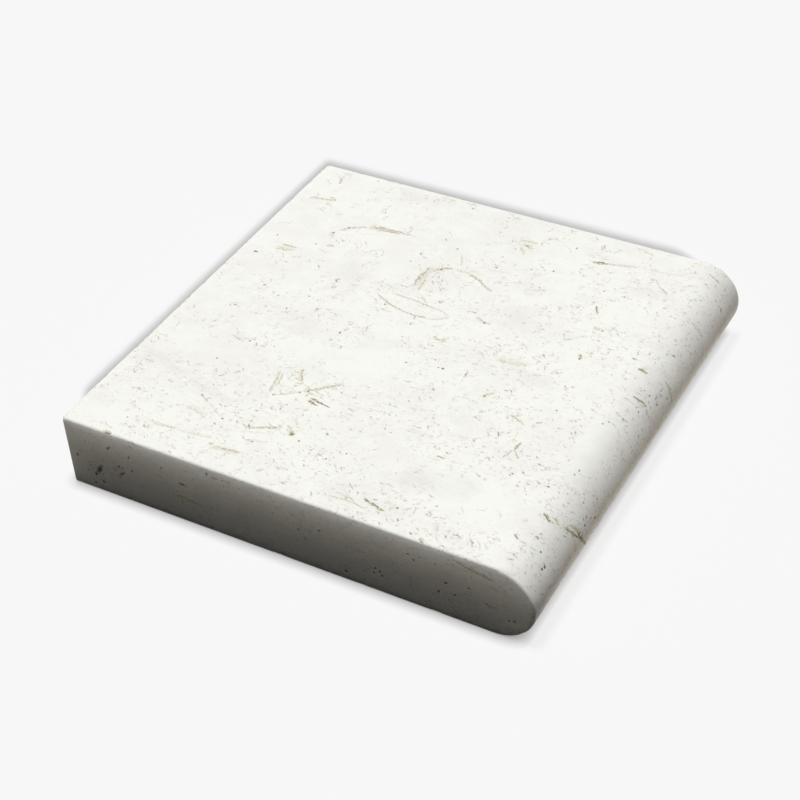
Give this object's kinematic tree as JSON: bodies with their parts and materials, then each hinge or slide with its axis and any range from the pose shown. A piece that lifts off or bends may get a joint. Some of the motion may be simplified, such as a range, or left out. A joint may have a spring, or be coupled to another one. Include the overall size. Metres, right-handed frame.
{
  "type": "bullnose tile",
  "caption": "Square limestone coping tile with a flat honed face, a flat bed and a full-round bullnose front edge, used to finish a step, wall or pool rim.",
  "frame": {"origin": "middle of the tile's square footprint, on the bed it lies on", "axes": "+X from the back joint face to the tip of the round nose, +Y along the nose, +Z from the bed up to the honed face"},
  "size_m": [0.305, 0.305, 0.05],
  "materials": {
    "limestone": "matte"
  },
  "bodies": {
    "root": {"bullnose_tile": "limestone"}
  },
  "joints": []
}
